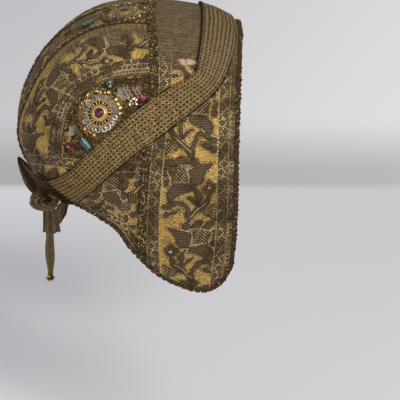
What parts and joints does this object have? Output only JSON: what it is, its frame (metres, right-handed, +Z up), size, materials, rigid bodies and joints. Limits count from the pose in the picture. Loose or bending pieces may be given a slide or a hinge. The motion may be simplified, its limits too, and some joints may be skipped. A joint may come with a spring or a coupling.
{
  "type": "bonnet",
  "caption": "Brocade bonnet with a wide face band, cheek flaps, an openwork tie ribbon knotted behind the nape and round medallions of metal thread and garnet.",
  "frame": {"origin": "inside of the crown in the middle plane, where the top of the head sits", "axes": "+X forward towards the face, +Y towards the wearer's left, +Z up"},
  "size_m": [0.128, 0.151, 0.169],
  "materials": {
    "brocade": "silk brocade woven with dull metal thread, gold ground and tarnished grey-brown figures",
    "ground": "dark brown coarse weave",
    "ribbon": "openwork ribbon of olive-gold metal thread, in folds round the knot",
    "gimp": "dark looped metal-thread braid",
    "silver_thread": "tarnished silver wire coils and mesh",
    "gold": "bright gold grains and spangles",
    "garnet": "polished dark red",
    "magenta_foil": "shiny magenta foil",
    "teal_foil": "shiny teal foil"
  },
  "bodies": {
    "root": {"front_band": "brocade", "crown_strip": "brocade", "upper_strip_right": "brocade", "upper_strip_left": "brocade", "medallion_ground_right": "ground", "medallion_ground_left": "ground", "lower_strip_right": "brocade", "lower_strip_left": "brocade", "band_seam_cord": "gimp", "crown_seam_cord_right": "gimp", "crown_seam_cord_left": "gimp", "border_seam_cord_right": "gimp", "border_seam_cord_left": "gimp", "edging": "gimp", "tie_ribbon": "ribbon", "medallion_right_bezel": "gold", "medallion_right_stone": "garnet", "medallion_right_plate": "silver_thread", "medallion_right_spangles": "gold", "medallion_left_bezel": "gold", "medallion_left_stone": "garnet", "medallion_left_plate": "silver_thread", "medallion_left_spangles": "gold", "medallion_crown_bezel": "gold", "medallion_crown_stone": "garnet", "medallion_crown_plate": "silver_thread", "medallion_crown_spangles": "gold", "silver_spray_upper_right": "silver_thread", "silver_spray_upper_left": "silver_thread", "silver_spray_lower_right": "silver_thread", "silver_spray_lower_left": "silver_thread", "magenta_leaf_upper_right": "magenta_foil", "magenta_leaf_upper_left": "magenta_foil", "magenta_leaf_lower_right": "magenta_foil", "magenta_leaf_lower_left": "magenta_foil", "teal_leaf_upper_right": "teal_foil", "teal_leaf_upper_left": "teal_foil", "teal_leaf_lower_right": "teal_foil", "teal_leaf_lower_left": "teal_foil", "teal_leaf_crown": "teal_foil", "gold_leaf_crown": "gold", "red_bead_right": "garnet", "red_bead_left": "garnet", "bow_knot": "ribbon", "bow_loop": "ribbon", "bow_fold": "ribbon", "bow_tail": "ribbon", "bow_stub": "ribbon", "tail_knot": "ribbon"}
  },
  "joints": []
}
